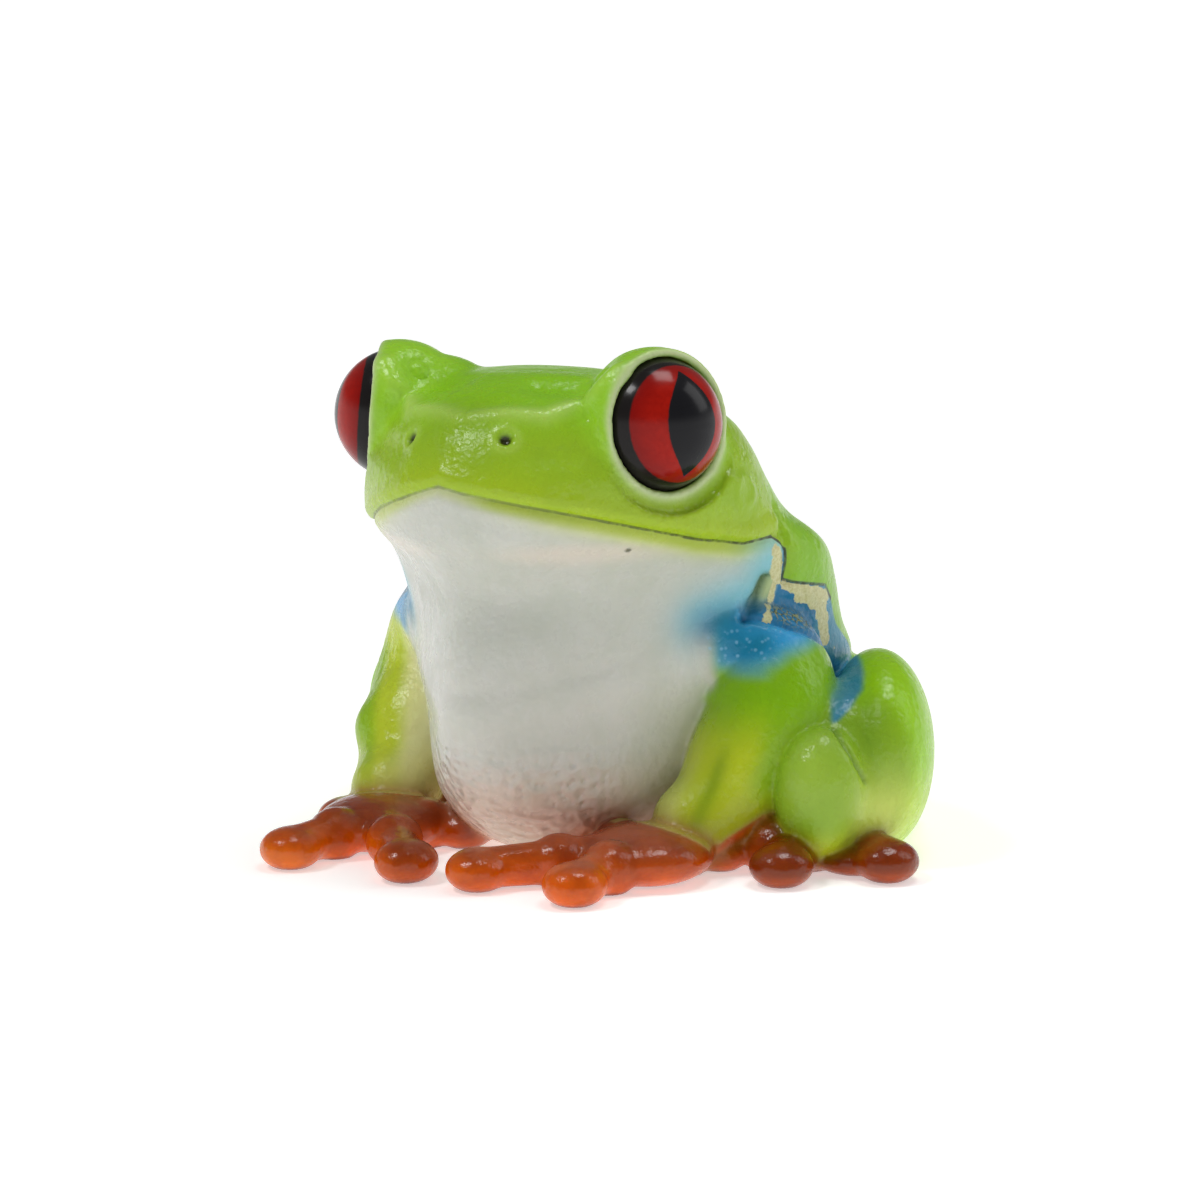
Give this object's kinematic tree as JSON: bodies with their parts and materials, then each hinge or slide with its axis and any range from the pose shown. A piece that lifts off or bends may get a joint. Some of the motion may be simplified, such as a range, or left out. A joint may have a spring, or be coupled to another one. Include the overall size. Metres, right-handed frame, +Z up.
{
  "type": "toy frog figurine",
  "caption": "Soft vinyl toy figure of a red-eyed tree frog, sitting with its head raised, glossy red eyes and translucent orange hands and feet.",
  "frame": {"origin": "Middle of the figure's box, on the floor that it sits on.", "axes": "+Z up, the frog faces -Y, and +X is the frog's left."},
  "size_m": [0.0952, 0.085, 0.0697],
  "materials": {
    "green_vinyl": "satin yellow-green paint on soft vinyl",
    "cream_vinyl": "matte off-white paint on soft vinyl",
    "eye_gloss": "glossy red paint with a black pupil",
    "amber_vinyl": "glossy translucent orange vinyl"
  },
  "bodies": {
    "root": {"head": "green_vinyl", "torso": "cream_vinyl", "eye_left": "eye_gloss", "eye_right": "eye_gloss", "arm_left": "green_vinyl", "arm_right": "green_vinyl", "hand_left": "amber_vinyl", "hand_right": "amber_vinyl", "thigh_left": "green_vinyl", "thigh_right": "green_vinyl", "shank_left": "green_vinyl", "shank_right": "green_vinyl", "foot_left": "amber_vinyl", "foot_right": "amber_vinyl"}
  },
  "joints": []
}
